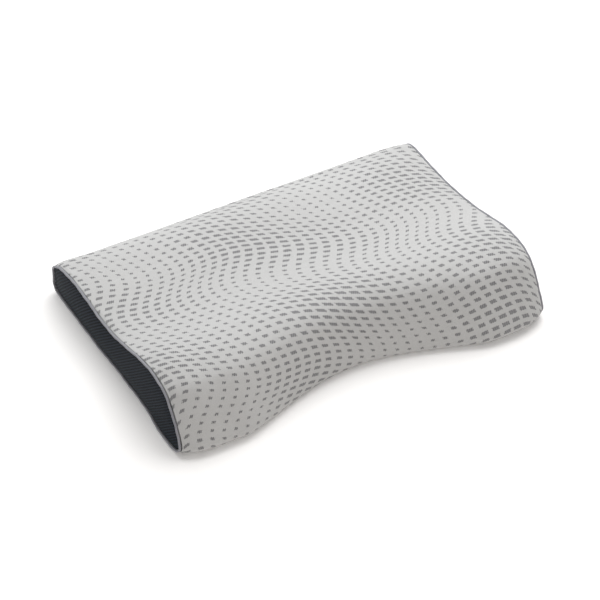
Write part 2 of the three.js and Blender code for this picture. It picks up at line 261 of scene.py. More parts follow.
# Studio, in metres and watts, but for the gap that keeps the base clear of the floor
FLOOR_GAP = 0.2
FLOOR_HALF_SIZE = 8
FLOOR_GLOW = 0.1
SKY_STRENGTH = 0.45
KEY_LIGHT = {"location": (0.7, 1.1, 2.0), "size": (3, 3), "power": 86}
WARM_FILL = {"location": (-0.4, -2.0, 0.7), "size": (1.2, 0.8), "power": 4.5, "colour": (1, 0.84, 0.7)}

# The CAD solids are centred on their box, which the slider makes a little deeper at the back.
SHIFT_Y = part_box("wrap_panel")[0].y / MM - FRONT_Y


# ---- Form ----


def mix(a, b, share):
    """The value a share of the way from a to b."""
    return a + (b - a) * share


def rise(value, low, high):
    """0 below low and 1 above high, with a smooth turn between them."""
    t = np.clip((value - low) / (high - low), 0, 1)
    return t * t * (3 - 2 * t)


def hump(value, middle, half_width):
    """1 at the middle, falling smoothly to 0 at half_width either side."""
    return 1 - rise(np.abs(value - middle), 0, half_width)


def recess_share(x):
    """How much of the hollow at the neck side is in the section at x, from 0 to 1."""
    across = min(1, abs(x) / RECESS_HALF_WIDTH)
    return (1 - across * across) ** RECESS_POWER


def crown_share(x):
    """How much of CROWN_INSET the section at x is drawn in by, all of it at a side seam."""
    across = max(0, (abs(x) - CROWN_START_X) / (SEAM_X - CROWN_START_X))
    angle = math.asin(min(1, across) * math.sin(CROWN_ANGLE))
    return (1 - math.cos(angle)) / (1 - math.cos(CROWN_ANGLE))


def smooth_loop(points, steps):
    """A closed centripetal Catmull-Rom line through points, with steps points to each span."""
    made = []
    count = len(points)
    for i in range(count):
        p0, p1, p2, p3 = (points[(i + k) % count] for k in (-1, 0, 1, 2))
        t01, t12, t23 = (math.sqrt(math.dist(a, b)) for a, b in ((p0, p1), (p1, p2), (p2, p3)))
        m1 = (p2 - p1) + t12 * ((p1 - p0) / t01 - (p2 - p0) / (t01 + t12))
        m2 = (p2 - p1) + t12 * ((p3 - p2) / t23 - (p3 - p1) / (t12 + t23))
        for t in np.arange(steps) / steps:
            start = (2 * t**3 - 3 * t**2 + 1) * p1 + (t**3 - 2 * t**2 + t) * m1
            made.append(start + (3 * t**2 - 2 * t**3) * p2 + (t**3 - t**2) * m2)
    return np.array(made)


def outline(x):
    """The closed section at x as [y, z] points, up the front, over the top and back underneath."""
    share = recess_share(x)
    crown = crown_share(x)
    front = FRONT_Y + CROWN_INSET["front"] * crown
    back = BACK_Y - CROWN_INSET["back"] * crown
    base = CROWN_INSET["base"] * crown
    crest = CREST_Z - CROWN_INSET["top"] * crown
    section = mix(np.array(LOBE_SECTION), np.array(RECESS_SECTION), share)
    along = (section[:, 0] - FRONT_Y) / (BACK_Y - FRONT_Y)
    points = np.stack([mix(front, back, along), mix(base, crest, section[:, 1] / CREST_Z)], 1)
    line = smooth_loop(points, OUTLINE_STEPS)
    line[:, 0] = np.minimum(line[:, 0], back)
    line[:, 1] = np.maximum(line[:, 1], base)
    return line


def path_lengths(line):
    """The distance of each point from the first, along the line."""
    return np.r_[0, np.cumsum(np.linalg.norm(np.diff(line, axis=0), axis=1))]


def wrap_path(x):
    """The section at x as an open line from the slot's upper edge over the top to its lower edge."""
    line = outline(x)[::-1]
    back = line[:, 0].max()
    start = np.argmin(np.abs(line[:, 0] - back) * 10 + np.abs(line[:, 1] - ZIP_Z))
    line = np.roll(line, -start, axis=0)
    in_slot = (line[:, 0] > back - 1) & (np.abs(line[:, 1] - ZIP_Z) < SLOT_HEIGHT / 2 + 0.3)
    upper, lower = ((back, ZIP_Z + side * SLOT_HEIGHT / 2) for side in (1, -1))
    return np.vstack([upper, line[~in_slot], lower])


def even_rows(count):
    """Evenly spaced rows, in the form that wrap_surface takes."""
    return [lambda whole, t=j / (count - 1): t * whole for j in range(count)]


def wrap_surface(xs, rows):
    """Points of the wrap panel's outer face, and their distances round it from the slot.

    rows has a function for each row. It takes the whole way round, from the slot's upper edge
    over the top to its lower edge, and gives the row's own distance from the upper edge.
    """
    points = np.zeros((len(xs), len(rows), 3))
    around = np.zeros((len(xs), len(rows)))
    for i, x in enumerate(xs):
        path = wrap_path(x)
        s = path_lengths(path)
        at = np.array([row(s[-1]) for row in rows])
        points[i, :, 0] = x
        points[i, :, 1] = np.interp(at, s, path[:, 0])
        points[i, :, 2] = np.interp(at, s, path[:, 1])
        around[i] = at
    return points, around


def normals_of(grid):
    """Unit normals of a grid of points, outwards where it runs along X and then round the section."""
    normal = np.cross(np.gradient(grid, axis=1), np.gradient(grid, axis=0))
    return normal / np.maximum(np.linalg.norm(normal, axis=-1, keepdims=True), 1e-9)


def settled(points):
    """Where points come to rest in the used pillow, which isn't quite even from end to end."""
    x, y, z = points[..., 0], points[..., 1], points[..., 2]
    upper = rise(z, 40, 62)
    dz = -BACK_SAG * hump(x, 175, 130) * rise(y, 60, 190) * upper
    dz += RIGHT_CORNER_LIFT * rise(x, 262, SEAM_X) * rise(y, 140, 190) * upper
    dz += -BACK_TWIST * (x / SEAM_X) ** 3 * hump(y, 115, 110) * rise(z, 10, 60)
    dz += LEFT_BACK_LIFT * hump(x, -215, 110) * rise(y, 120, 190) * upper
    dz += LEFT_CORNER_LIFT * rise(-x, 235, SEAM_X) * rise(y, 150, 200) * rise(z, 22, 44)
    dy = -FRONT_RIGHT_BULGE * hump(x, 225, 75) * rise(-y, 150, 205) * (1 - rise(z, 30, 80))
    # the base seams tuck in a little at the middle; the left one spreads under the neck lobe
    tuck = BASE_TUCK * hump(y, -25, 80) + BASE_WAVE * np.sin(y / 17) * rise(-y, -60, 20)
    tuck -= LEFT_BASE_SPREAD * hump(y, -165, 80) * rise(-x, 0, 200)
    moved = points.copy()
    moved[..., 0] -= np.sign(x) * tuck * rise(np.abs(x), 225, SEAM_X) * (1 - rise(z, 1, 34))
    moved[..., 1] += dy
    moved[..., 2] += dz
    return moved


# ---- Meshes ----


def make_piece(name, vertices, faces, material, uvs=None):
    """A mesh object from points in millimetres. uvs has one pair of metres for each vertex."""
    shifted = np.asarray(vertices, float).reshape(-1, 3) + (0, SHIFT_Y, 0)
    mesh = bpy.data.meshes.new(name)
    mesh.from_pydata((shifted * MM).tolist(), [], faces)
    mesh.materials.append(material)
    mesh.polygons.foreach_set("use_smooth", [True] * len(mesh.polygons))
    if uvs is not None:
        layer = mesh.uv_layers.new(name="UVMap")
        corners = np.zeros(len(mesh.loops), np.int32)
        mesh.loops.foreach_get("vertex_index", corners)
        layer.data.foreach_set("uv", np.asarray(uvs).reshape(-1, 2)[corners].ravel())
    piece = bpy.data.objects.new(name, mesh)
    bpy.context.scene.collection.objects.link(piece)
    return piece


def grid_faces(columns, rows, wrap=False, first=0):
    """Quads over a grid of vertices stored column by column. wrap joins the last row to the first."""
    faces = []
    for i in range(columns - 1):
        for j in range(rows if wrap else rows - 1):
            k = (j + 1) % rows
            a, b = first + i * rows, first + (i + 1) * rows
            faces.append((a + j, a + k, b + k, b + j))
    return faces


def cap_faces(columns, rows, centre_first):
    """Triangles from each end ring to its own centre vertex."""
    low, high = centre_first, centre_first + 1
    last = (columns - 1) * rows
    faces = [((j + 1) % rows, j, low) for j in range(rows)]
    faces += [(last + j, last + (j + 1) % rows, high) for j in range(rows)]
    return faces


def crowded(count, crowding):
    """Places from -1 to 1, closer together towards both ends the nearer crowding is to 1."""
    quarter = math.pi / 2 * crowding
    return np.sin(np.linspace(-1, 1, count) * quarter) / math.sin(quarter)


def face_outwards(piece):
    """Turns the faces of a closed mesh so that they all look outwards."""
    shape = bmesh.new()
    shape.from_mesh(piece.data)
    bmesh.ops.recalc_face_normals(shape, faces=shape.faces)
    shape.to_mesh(piece.data)
    shape.free()
    return piece


def tube(points, radius, sides, reference):
    """A round strand along points, as (vertices, faces). Its ring starts square to reference."""
    points = np.asarray(points, float)
    tangent = np.gradient(points, axis=0)
    tangent /= np.linalg.norm(tangent, axis=1, keepdims=True)
    across = np.cross(tangent, reference)
    across /= np.linalg.norm(across, axis=1, keepdims=True)
    other = np.cross(tangent, across)
    angles = (np.arange(sides) * TAU / sides)[None, :, None]
    ring = np.cos(angles) * across[:, None] + np.sin(angles) * other[:, None]
    sleeve = (points[:, None] + radius * ring).reshape(-1, 3)
    vertices = np.vstack([sleeve, points[:1], points[-1:]])
    count = len(points)
    faces = grid_faces(count, sides, wrap=True) + cap_faces(count, sides, count * sides)
    return vertices, faces


def joined(parts):
    """Several (vertices, faces) as one."""
    vertices, faces, first = [], [], 0
    for part_vertices, part_faces in parts:
        vertices.append(part_vertices)
        faces += [tuple(first + k for k in face) for face in part_faces]
        first += len(part_vertices)
    return np.vstack(vertices), faces


def stitch(start, end, outwards, radius=0.28):
    """One stitch of thread from start to end, which dips into the cloth at both."""
    shares = np.linspace(0, 1, 7)
    bow = 0.45 * np.sin(shares * math.pi) - 0.35
    points = mix(np.array(start)[None], np.array(end)[None], shares[:, None])
    points = points + bow[:, None] * np.array(outwards)[None]
    return tube(points, radius, 6, outwards)


def apply_modifiers(piece):
    """Puts a piece's modifiers into its mesh."""
    bpy.context.view_layer.update()
    evaluated = piece.evaluated_get(bpy.context.evaluated_depsgraph_get())
    mesh = bpy.data.meshes.new_from_object(evaluated)
    piece.modifiers.clear()
    old = piece.data
    piece.data = mesh
    bpy.data.meshes.remove(old)


def thicken(piece, wall):
    """Gives a sheet its wall, behind the face that it was drawn on."""
    solid = piece.modifiers.new("wall", "SOLIDIFY")
    solid.thickness = wall * MM
    solid.offset = -1
    apply_modifiers(piece)


def finish_piece(piece, body, slot, *nodes):
    """Hangs a piece on the body it rides and hides the CAD nodes it stands for. slot, what it is made
    of, is not used.
    """
    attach(piece, body)
    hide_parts(*nodes)


# ---- Materials ----


class Graph:
    """Short calls that add nodes to a material and link them. An input is a number or a socket."""

    def __init__(self, name, roughness):
        self.material = bpy.data.materials.new(name)
        self.material.use_nodes = True
        self.tree = self.material.node_tree
        self.shader = self.tree.nodes["Principled BSDF"]
        self.shader.inputs["Roughness"].default_value = roughness

    def put(self, socket, value):
        if isinstance(value, bpy.types.NodeSocket):
            self.tree.links.new(value, socket)
        else:
            socket.default_value = value

    def math(self, operation, *values):
        node = self.tree.nodes.new("ShaderNodeMath")
        node.operation = operation
        for socket, value in zip(node.inputs, values):
            self.put(socket, value)
        return node.outputs[0]

    def add(self, a, b):
        return self.math("ADD", a, b)

    def times(self, a, b):
        return self.math("MULTIPLY", a, b)

    def wave(self, value, length, start=0.0):
        """cos of one turn for each length of value, which peaks at start."""
        turned = self.times(self.add(value, -start), TAU / length)
        return self.math("COSINE", turned)

    def between(self, value, low, high):
        """0 below low and 1 above high, with a smooth turn between them."""
        node = self.tree.nodes.new("ShaderNodeMapRange")
        node.interpolation_type = "SMOOTHSTEP"
        self.put(node.inputs["Value"], value)
        self.put(node.inputs["From Min"], low)
        self.put(node.inputs["From Max"], high)
        return node.outputs["Result"]

    def uv(self):
        """The piece's UV coordinates, in millimetres."""
        node = self.tree.nodes.new("ShaderNodeUVMap")
        split = self.tree.nodes.new("ShaderNodeSeparateXYZ")
        self.tree.links.new(node.outputs["UV"], split.inputs[0])
        return self.times(split.outputs[0], 1 / MM), self.times(split.outputs[1], 1 / MM)

    def noise(self, scale, detail=2.0):
        """A noise fixed to the object, with scale cells to the metre."""
        place = self.tree.nodes.new("ShaderNodeTexCoord").outputs["Object"]
        node = self.tree.nodes.new("ShaderNodeTexNoise")
        self.put(node.inputs["Vector"], place)
        node.inputs["Scale"].default_value = scale
        node.inputs["Detail"].default_value = detail
        return node.outputs["Fac"]

    def total(self, *weighted):
        """The sum of (value, weight) pairs, each value times its weight."""
        result = 0
        for value, weight in weighted:
            result = self.add(result, self.times(value, weight))
        return result

    def blend(self, share, low, high):
        """A colour between low and high, each of which is a plain colour or a socket."""
        node = self.tree.nodes.new("ShaderNodeMix")
        node.data_type = "RGBA"
        self.put(node.inputs["Factor"], share)
        for socket, colour in ((node.inputs[6], low), (node.inputs[7], high)):
            is_plain = isinstance(colour, tuple)
            self.put(socket, (*colour, 1.0) if is_plain else colour)
        return node.outputs[2]

    def finish(self, colour, height, bump_mm, sheen=0.0):
        """The material, once colour is on its shader and height is a bump of bump_mm on it."""
        self.put(self.shader.inputs["Base Color"], colour)
        self.shader.inputs["Sheen Weight"].default_value = sheen
        bump = self.tree.nodes.new("ShaderNodeBump")
        bump.inputs["Distance"].default_value = bump_mm * MM
        bump.inputs["Strength"].default_value = 1.0
        self.put(bump.inputs["Height"], height)
        self.put(self.shader.inputs["Normal"], bump.outputs["Normal"])
        return self.material


def swayed(g, value, along, waves):
    """value less its sideways sway, in waves of (size, length, start) along another value."""
    for size, length, start in waves:
        turned = g.times(g.add(along, -start), TAU / length)
        value = g.add(value, g.times(g.math("SINE", turned), -size))
    return value


def knit_grid(g, x, s):
    """Places on the swirling grid of marks, across its columns and across its rows."""
    across = g.add(x, g.times(g.add(s, -PATTERN_MIDDLE), COLUMN_LEAN))
    along = swayed(g, g.add(s, g.times(x, ROW_LEAN)), s, [ROW_RIPPLE])
    column, row = across, along
    # each sways with the other, so a few rounds settle both
    for _ in range(3):
        column = swayed(g, across, row, COLUMN_SWAY)
        row = swayed(g, along, column, ROW_SWAY)
    return column, row


def over_limit(g, wave, limit, follows):
    """wave less its own cut-off, where follows is (gain, start) and that is gain * limit + start."""
    gain, start = follows
    return g.add(wave, g.add(g.times(limit, -gain), -start))


def mark_limit(g, x, s):
    """The cut-off that marks are drawn above, which is low in the patches where they swell."""
    limit = SWELL_LIMIT
    for size, turns_x, turns_s, start in SWELLS:
        turned = g.total((x, TAU * turns_x / SWELL_LENGTHS[0]), (s, TAU * turns_s / SWELL_LENGTHS[1]))
        swell = g.math("COSINE", g.add(turned, -math.radians(start)))
        limit = g.add(limit, g.times(swell, -size))
    return g.math("MINIMUM", limit, SWELL_CEILING)


def knit_marks(g, x, s, strands):
    """1 on the marks and 0 between them. As they swell they grow from dots to long dashes."""
    stitch_x = g.math("SNAP", x, STITCH_WIDTH)
    stitch_s = g.math("SNAP", s, STITCH_HEIGHT)
    column, row = knit_grid(g, stitch_x, stitch_s)
    limit = mark_limit(g, x, s)
    over_column = over_limit(g, g.wave(column, COLUMN_PITCH, COLUMN_START), limit, MARK_LENGTH)
    over_row = over_limit(g, g.wave(row, ROW_PITCH, ROW_START), limit, MARK_HEIGHT)
    over = g.math("SMOOTH_MIN", over_column, over_row, MARK_ROUNDING)
    ragged = g.add(g.noise(scale=420, detail=1), -0.5)
    uneven = g.total((ragged, RAGGEDNESS), (strands, STRAND_BITE))
    return g.between(g.add(over, g.add(uneven, MARK_GAIN)), *MARK_EDGE)


def knit_material():
    """Pale double knit with swirling rows of grey marks, which swell and shrink in patches."""
    g = Graph("knit_cover", roughness=0.92)
    x, s = g.uv()
    strands = g.wave(g.add(x, g.times(s, STRAND_SLANT)), STRAND_PITCH)
    mark = knit_marks(g, x, s, strands)
    grain = g.noise(scale=900, detail=3)
    blotch = g.noise(scale=14)
    pale = g.blend(grain, *KNIT_PALE)
    dark = g.blend(g.total((grain, 0.5), (blotch, 0.3), (strands, -0.4)), *KNIT_DARK)
    wales = g.wave(x, STITCH_WIDTH)
    courses = g.wave(s, STITCH_HEIGHT)
    sunk = g.times(mark, g.add(g.times(strands, 0.35), -0.9))
    relief = g.add(sunk, g.total((wales, 0.25), (courses, 0.15)))
    return g.finish(g.blend(mark, pale, dark), relief, bump_mm=0.4, sheen=0.2)


def mesh_material():
    """Dark spacer mesh, darkest in its holes, which are painted shade."""
    g = Graph("mesh_gusset", roughness=0.75)
    g.shader.inputs["Specular IOR Level"].default_value = 0.2
    y, z = g.uv()
    rise_y = g.times(y, math.cos(MESH_ANGLE))
    rise_z = g.times(z, math.sin(MESH_ANGLE))
    first = g.wave(g.add(rise_y, rise_z), MESH_PITCH)
    second = g.wave(g.add(rise_y, g.times(rise_z, -1)), MESH_PITCH)
    yarn = g.between(g.total((first, MESH_SHARES[0]), (second, MESH_SHARES[1])), -0.5, 0.7)
    thread = g.blend(g.noise(scale=1500), *MESH_THREAD)
    knots = g.times(g.wave(y, KNOT_PITCH), g.wave(z, KNOT_PITCH))
    relief = g.add(yarn, g.times(knots, 0.2))
    # the holes between the ribs take the painted shade colour
    return g.finish(g.blend(yarn, MESH_HOLE_SHADE, thread), relief, bump_mm=0.25)


def piping_material():
    """A fine twill, slanting round the piping."""
    g = Graph("piping", roughness=0.7)
    around, along = g.uv()
    twill = g.wave(g.add(around, along), 0.7)
    return g.finish(g.blend(g.noise(scale=700), *PIPING_GREYS), twill, bump_mm=0.12, sheen=0.3)


def plain_woven(name, colour, pitch=0.6, roughness=0.9):
    """A plain weave on the two UV directions."""
    g = Graph(name, roughness)
    u, v = g.uv()
    weave = g.times(g.wave(u, pitch), g.wave(v, pitch))
    dark = tuple(c * 0.8 for c in colour)
    return g.finish(g.blend(g.noise(scale=500), dark, colour), weave, bump_mm=0.1, sheen=0.2)


def foam_material():
    """Open-pored foam, with painted shade that makes its pores darker and yellower."""
    g = Graph("foam", roughness=1.0)
    pores = g.between(g.noise(scale=700, detail=3), 0.35, 0.6)
    # the low places of the bump take the darker, painted shade yellow
    return g.finish(g.blend(pores, *FOAM_YELLOWS_WITH_PORE_SHADE), pores, bump_mm=0.4)


def metal_material():
    """Plated metal with fine scratches."""
    g = Graph("zip_metal", roughness=0.28)
    g.shader.inputs["Metallic"].default_value = 1.0
    scratches = g.noise(scale=1800, detail=4)
    return g.finish(g.blend(scratches, *METAL_GREYS), scratches, bump_mm=0.02)


def nylon_material():
    """Smooth nylon, a little cloudy."""
    g = Graph("zip_coil", roughness=0.38)
    cloud = g.noise(scale=300)
    return g.finish(g.blend(cloud, *NYLON_GREYS), cloud, bump_mm=0.03)


def floor_material():
    """A white studio floor, whose faint glow keeps shadows pale."""
    g = Graph("studio_floor", roughness=0.9)
    g.shader.inputs["Emission Color"].default_value = (1, 1, 1, 1)
    g.shader.inputs["Emission Strength"].default_value = FLOOR_GLOW
    grain = g.noise(scale=60)
    return g.finish(g.blend(grain, *FLOOR_WHITES), grain, bump_mm=0.05)


KNIT = knit_material()
MESH = mesh_material()
PIPING = piping_material()
LINER = plain_woven("liner", LINER_WHITE)
FOAM = foam_material()
CORD = plain_woven("piping_cord", CORD_WHITE, pitch=0.9)
TAPE = plain_woven("zip_tape", TAPE_GREY, pitch=0.5)
THREAD = plain_woven("thread", THREAD_GREY, pitch=0.3, roughness=0.7)
METAL = metal_material()
NYLON = nylon_material()


# ---- Wrap panel ----


def drape(piece, pinned, rest, support):
    """Lets a sheet settle as cloth over support, and gives the places of its vertices then.

    pinned is true for each vertex that stays put, and rest is the sheet's unstretched shape.
    """
    scene = bpy.context.scene
    group = piece.vertex_groups.new(name="pins")
    group.add(np.flatnonzero(pinned).tolist(), 1.0, "REPLACE")
    piece.shape_key_add(name="drawn")
    key = piece.shape_key_add(name="unstretched")
    key.data.foreach_set("co", (rest.reshape(-1, 3) * MM).ravel())
    support.modifiers.new("collision", "COLLISION")
    support.collision.thickness_outer = BODY_SKIN * MM
    support.collision.cloth_friction = BODY_FRICTION
    cloth = piece.modifiers.new("cloth", "CLOTH")
    for setting, value in CLOTH_SETTINGS.items():
        setattr(cloth.settings, setting, value)
    cloth.settings.vertex_group_mass = group.name
    cloth.settings.rest_shape_key = key
    cloth.settings.effector_weights.gravity = CLOTH_GRAVITY
    cloth.collision_settings.distance_min = CLOTH_GAP * MM
    cloth.collision_settings.use_self_collision = False
    cloth.point_cache.frame_start, cloth.point_cache.frame_end = 1, CLOTH_FRAMES
    for frame_number in range(1, CLOTH_FRAMES + 1):
        scene.frame_set(frame_number)
    evaluated = piece.evaluated_get(bpy.context.evaluated_depsgraph_get())
    places = np.zeros(len(evaluated.data.vertices) * 3)
    evaluated.data.vertices.foreach_get("co", places)
    scene.frame_set(1)
    return places.reshape(-1, 3) / MM


def closed_grid(points):
    """Vertices and faces of a body whose grid closes on itself, with a fan of faces on each end."""
    columns, rows = points.shape[:2]
    vertices = np.vstack([points.reshape(-1, 3), points[0].mean(0), points[-1].mean(0)])
    faces = grid_faces(columns, rows, wrap=True) + cap_faces(columns, rows, columns * rows)
    return vertices, faces


def spare_cloth(xs, around):
    """How much too large the cloth is, as a share. It is largest beside the side seams."""
    inwards = (WRAP_END_X - np.abs(xs))[:, None]
    wave = SPARE_WAVE * np.sin(around / 37 + xs[:, None] / 60)
    return 0.01 * (SPARE + SPARE_AT_SEAMS * np.exp(-inwards / SPARE_REACH) + wave)


def simulate_settling():
    """How far the stretched knit moves as it settles: (x of each column, [x, round it] moves)."""
    xs = np.linspace(-WRAP_END_X, WRAP_END_X, round(2 * WRAP_END_X / CLOTH_PITCH) + 1)
    points, around = wrap_surface(xs, even_rows(CLOTH_ROWS))
    drawn = settled(points)
    middle = np.array([0, 0, CREST_Z / 2])
    rest = middle + (drawn - middle) * (1 + spare_cloth(xs, around)[..., None] * SPARE_SHARES)
    pinned = drawn[..., 2] < PINNED_HEIGHT
    pinned[[0, -1]] = True
    pinned[:, :PINNED_ROWS] = pinned[:, -PINNED_ROWS:] = True
    sheet = make_piece("cloth_sheet", drawn, grid_faces(*around.shape), KNIT)
    inner = drawn - CLOTH_BODY_DEPTH * normals_of(drawn)
    body = face_outwards(make_piece("cloth_body", *closed_grid(inner), KNIT))
    shift = (0, SHIFT_Y, 0)
    ended = drape(sheet, pinned, rest + shift, body) - shift
    moves = ended.reshape(drawn.shape) - drawn
    length = np.linalg.norm(moves, axis=-1, keepdims=True)
    moves *= np.minimum(1, MAX_DRIFT / np.maximum(length, 1e-6))
    for helper in (sheet, body):
        mesh = helper.data
        bpy.data.objects.remove(helper)
        bpy.data.meshes.remove(mesh)
    return xs, moves


def settling_of(xs, shares):
    """The settling at every column x and share of the way round, read from the coarse cloth."""
    if SETTLING is None:
        return np.zeros((*shares.shape, 3))
    cloth_xs, moves = SETTLING
    columns, rows = moves.shape[:2]
    i = np.interp(xs, cloth_xs, np.arange(columns))
    low = np.minimum(i.astype(int), columns - 2)
    t = (i - low)[:, None, None]
    lines = moves[low] * (1 - t) + moves[low + 1] * t
    cloth_shares = np.linspace(0, 1, rows)
    made = np.zeros((*shares.shape, 3))
    for column, axis in np.ndindex(len(xs), 3):
        made[column, :, axis] = np.interp(shares[column], cloth_shares, lines[column, :, axis])
    # beside a side seam the columns stand too close to move along the pillow
    made[..., 0] *= rise(WRAP_END_X - np.abs(xs), 0, 20)[:, None]
    return made


def wrap_rows():
    """The wrap panel's rows, in the form that wrap_surface takes, closer together at the slot."""
    rows = [lambda whole, d=d: d for d in HEM_STEPS]
    edge = HEM_STEPS[-1]
    for j in range(1, WRAP_ROWS):
        rows.append(lambda whole, t=j / WRAP_ROWS: edge + t * (whole - 2 * edge))
    rows += [lambda whole, d=d: whole - d for d in reversed(HEM_STEPS)]
    return rows


def wrap_columns():
    """Places along X of the wrap panel's columns, closer together at the side seams."""
    inner = WRAP_END_X - SEAM_STEPS[-1]
    count = round(2 * inner / COLUMN_STEP)
    middle = np.linspace(-inner, inner, count + 1)
    # the slot's ends are columns of the grid
    for end in (-SLOT_HALF_LENGTH, SLOT_HALF_LENGTH):
        middle[np.argmin(np.abs(middle - end))] = end
    ends = WRAP_END_X - np.array(SEAM_STEPS[:-1])
    return np.r_[-ends, middle, ends[::-1]]


def seam_depth(x, s):
    """How far the knit dips where it turns in to a side seam, and puckers along it."""
    inwards = WRAP_END_X - np.abs(x)
    roll_depth, roll_width = SEAM_ROLL
    roll = roll_depth * np.clip(1 - inwards / roll_width, 0, 1) ** 2
    # slow waves make the puckers closer here and wider there, and stronger and weaker
    wander = 1.7 * np.sin(TAU * s / 83) + 2.3 * np.sin(TAU * s / 131 + x / 150)
    gather = 0.5 + 0.5 * np.cos(TAU * s / PUCKER_PITCH + wander)
    strength = 0.65 + 0.35 * np.sin(TAU * s / 190 + np.sign(x))
    pucker_depth, pucker_width = SEAM_PUCKER
    pucker = pucker_depth * gather * strength * np.clip(1 - inwards / pucker_width, 0, 1) ** 1.5
    return roll + pucker * rise(inwards, 0, 3)


def hem_depth(x, s, whole):
    """How far the knit dips at the slot's folded hems and at the stitching along them."""
    fold = np.minimum(s, whole - s)
    beside_slot = 1 - rise(np.abs(x), SLOT_HALF_LENGTH - 1, SLOT_HALF_LENGTH + 7)
    fold_depth, fold_width = HEM_FOLD
    edge = fold_depth * np.clip(1 - fold / fold_width, 0, 1) ** 2
    groove_depth, groove_width = HEM_GROOVE
    groove = groove_depth * hump(fold, HEM_STITCH, groove_width)
    return (edge + groove) * beside_slot


def close_back_seam(points, uvs, xs):
    """The strips beyond the slot's ends, where the panel's two edges meet in a sunk seam.

    Gives the points and UVs that the strips add to the grid, and their faces.
    """
    columns, rows = points.shape[:2]
    added, added_uvs, faces = [], [], []
    ring_of = {}
    for i, x in enumerate(xs):
        if abs(x) < SLOT_HALF_LENGTH - 0.01:
            continue
        first = columns * rows + len(added)
        ring_of[i] = [i * rows + rows - 1, *range(first, first + len(CLOSING_ROWS)), i * rows]
        for share, depth in CLOSING_ROWS:
            added.append(mix(points[i, -1], points[i, 0], share) - (0, depth, 0))
            # the pattern jumps at the bottom of the seam
            edge_s = uvs[i, -1, 1] if share < 0.5 else -SLOT_HEIGHT * MM
            added_uvs.append((uvs[i, 0, 0], edge_s + share * SLOT_HEIGHT * MM))
    for i, ring in ring_of.items():
        if i + 1 in ring_of:
            far = ring_of[i + 1]
            faces += [(ring[k], ring[k + 1], far[k + 1], far[k]) for k in range(len(ring) - 1)]
    return np.array(added), np.array(added_uvs), faces


def make_wrap():
    """The one length of knit round the pillow, with its back seam left open for the zip."""
    xs = wrap_columns()
    points, around = wrap_surface(xs, wrap_rows())
    columns, rows = around.shape
    across = np.repeat(xs[:, None], rows, 1)
    whole = around[:, -1:]
    dips = seam_depth(across, around) + hem_depth(across, around, whole)
    points -= dips[..., None] * normals_of(points)
    points[..., 0] = across
    points = settled(points) + settling_of(xs, around / whole)
    points[..., 2] = np.maximum(points[..., 2], 0)
    # the panel was cut straight, so its lower edge is level on the flat; the base takes up the slack
    cut = around + (whole[columns // 2] - whole) * rise(around / whole, 0.6, 0.98)
    uvs = np.stack([across, cut], -1) * MM
    added, added_uvs, closing = close_back_seam(points, uvs, xs)
    vertices = np.vstack([points.reshape(-1, 3), added])
    all_uvs = np.vstack([uvs.reshape(-1, 2), added_uvs])
    piece = make_piece("cover_wrap", vertices, grid_faces(columns, rows) + closing, KNIT, all_uvs)
    thicken(piece, WRAP_WALL)
    finish_piece(piece, "pillow", "knit_cover", "wrap_panel")


# ---- Layers inside ----


def inset_columns(end_x):
    """Places along X that are closer together towards the ends, with one at each end of the slit."""
    near_end = end_x - END_ROUNDING * (1 - np.cos(np.linspace(0, math.pi / 2, 7)))
    middle = near_end[-1] * crowded(BODY_COLUMNS, BODY_CROWDING)
    for end in (-LINER_SLIT[0], LINER_SLIT[0]):
        middle[np.argmin(np.abs(middle - end))] = end
    return np.r_[-near_end[:-1], middle, near_end[-2::-1]]


def inset_body(end_x, depth):
    """A closed grid of points round the pillow at one depth, with its end rims rounded over."""
    xs = inset_columns(end_x)
    points, around = wrap_surface(xs, even_rows(BODY_ROWS))
    from_end = np.clip(end_x - np.abs(xs), 0, END_ROUNDING)
    rim = END_ROUNDING - np.sqrt(END_ROUNDING**2 - (END_ROUNDING - from_end) ** 2)
    points -= normals_of(points) * (depth + rim)[:, None, None]
    points[..., 0] = xs[:, None]
    # two more lines of points across the slot, one to each side of the slit
    for side in (-1, 1):
        share = 0.5 + side * LINER_SLIT[1] / SLOT_HEIGHT
        line = mix(points[:, BODY_ROWS - 1], points[:, 0], share)
        points = np.concatenate([points, line[:, None]], 1)
        past_end = around[:, BODY_ROWS - 1] + share * SLOT_HEIGHT
        around = np.concatenate([around, past_end[:, None]], 1)
    return settled(points), xs, around


def make_core():
    """The foam block. Its moulded face isn't quite smooth, but for the base."""
    points, _, _ = inset_body(CORE_END_X, CORE_DEPTH)
    x, y, z = points[..., 0], points[..., 1], points[..., 2]
    grain = np.sin(x / 9 + y / 13) * np.sin(y / 8 - z / 11)
    points[..., 2] += 0.15 * grain * (z > CORE_DEPTH + 2)
    piece = face_outwards(make_piece("core_foam", *closed_grid(points), FOAM))
    finish_piece(piece, "pillow", "foam", "foam_core")


def make_liner():
    """A thin bag round the core, with a slit behind the zip that the core was put in through."""
    points, xs, around = inset_body(LINER_END_X, LINER_DEPTH)
    rows = points.shape[1]
    vertices, all_faces = closed_grid(points)
    faces = []
    for face in all_faces:
        column, row = divmod(face[0], rows)
        beside_slit = row == rows - 2 and len(face) == 4
        if not (beside_slit and max(abs(xs[column : column + 2])) < LINER_SLIT[0] + 0.01):
            faces.append(face)
    uvs = np.stack([points[..., 0], around], -1).reshape(-1, 2)
    uvs = np.vstack([uvs, vertices[-2:, 1:]]) * MM
    piece = face_outwards(make_piece("liner_bag", vertices, faces, LINER, uvs))
    thicken(piece, LINER_WALL)
    finish_piece(piece, "pillow", "liner", "inner_liner")


# ---- Gussets and piping ----


